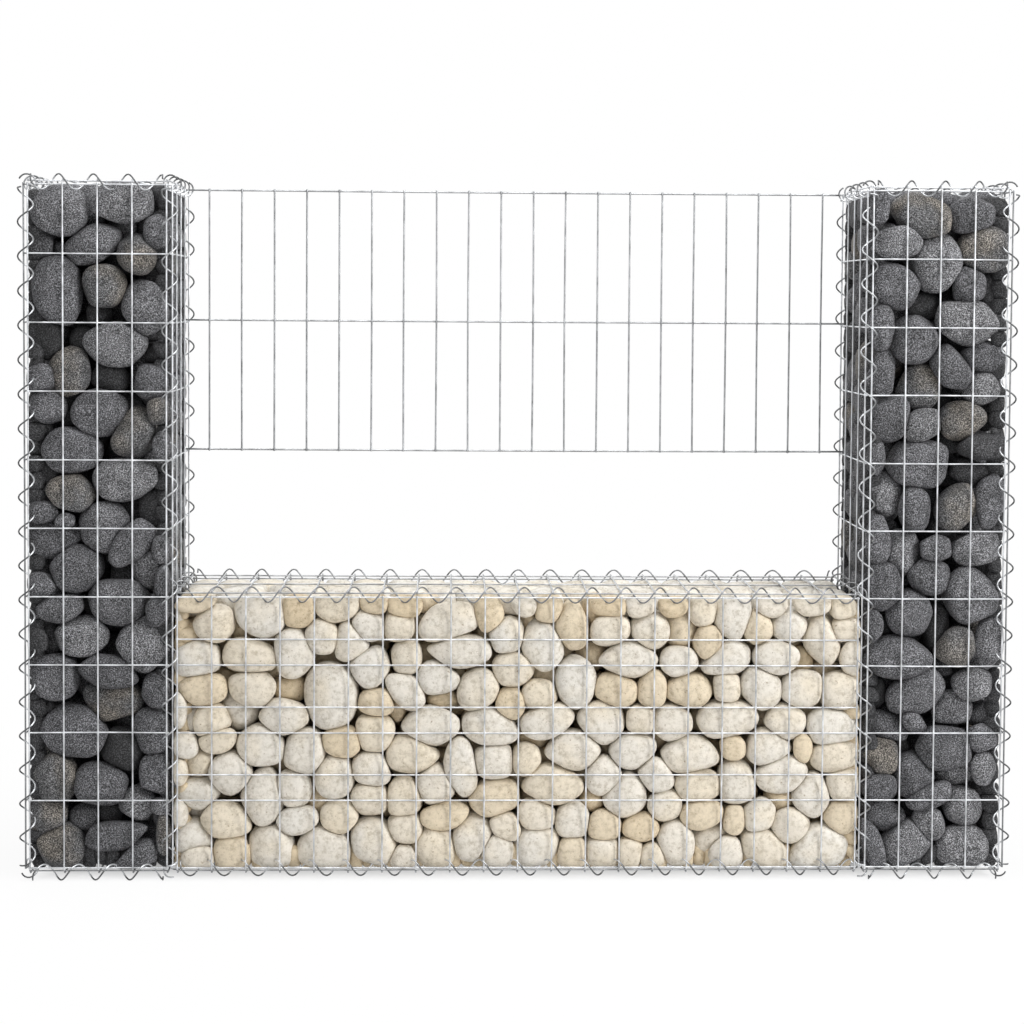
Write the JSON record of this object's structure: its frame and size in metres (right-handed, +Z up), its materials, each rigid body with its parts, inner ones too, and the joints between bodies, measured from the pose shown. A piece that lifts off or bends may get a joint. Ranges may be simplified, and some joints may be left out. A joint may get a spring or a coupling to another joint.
{
  "type": "gabion wall",
  "caption": "Free-standing gabion wall: tall stone-filled wire posts with a low pebble-filled bench between them and an open wire trellis above the bench.",
  "frame": {"origin": "on the ground, under the middle of the wall", "axes": "+X along the wall, +Y from the front to the back, +Z up"},
  "size_m": [1.4668, 0.2368, 1.0368],
  "materials": {
    "wire": "galvanised, dull",
    "dark_stone": "rough",
    "pale_stone": "water-worn, matt"
  },
  "bodies": {
    "root": {"left_post_front_panel": "wire", "left_post_back_panel": "wire", "left_post_outer_panel": "wire", "left_post_inner_panel": "wire", "left_post_base_panel": "wire", "left_post_lid_panel": "wire", "right_post_front_panel": "wire", "right_post_back_panel": "wire", "right_post_outer_panel": "wire", "right_post_inner_panel": "wire", "right_post_base_panel": "wire", "right_post_lid_panel": "wire", "bench_front_panel": "wire", "bench_back_panel": "wire", "bench_base_panel": "wire", "bench_lid_panel": "wire", "trellis_panel": "wire", "left_post_corner_spirals": "wire", "left_post_lid_spirals": "wire", "left_post_base_spirals": "wire", "right_post_corner_spirals": "wire", "right_post_lid_spirals": "wire", "right_post_base_spirals": "wire", "bench_lid_spirals": "wire", "bench_base_spirals": "wire", "left_post_stones": "dark_stone", "right_post_stones": "dark_stone", "bench_stones": "pale_stone"}
  },
  "joints": []
}
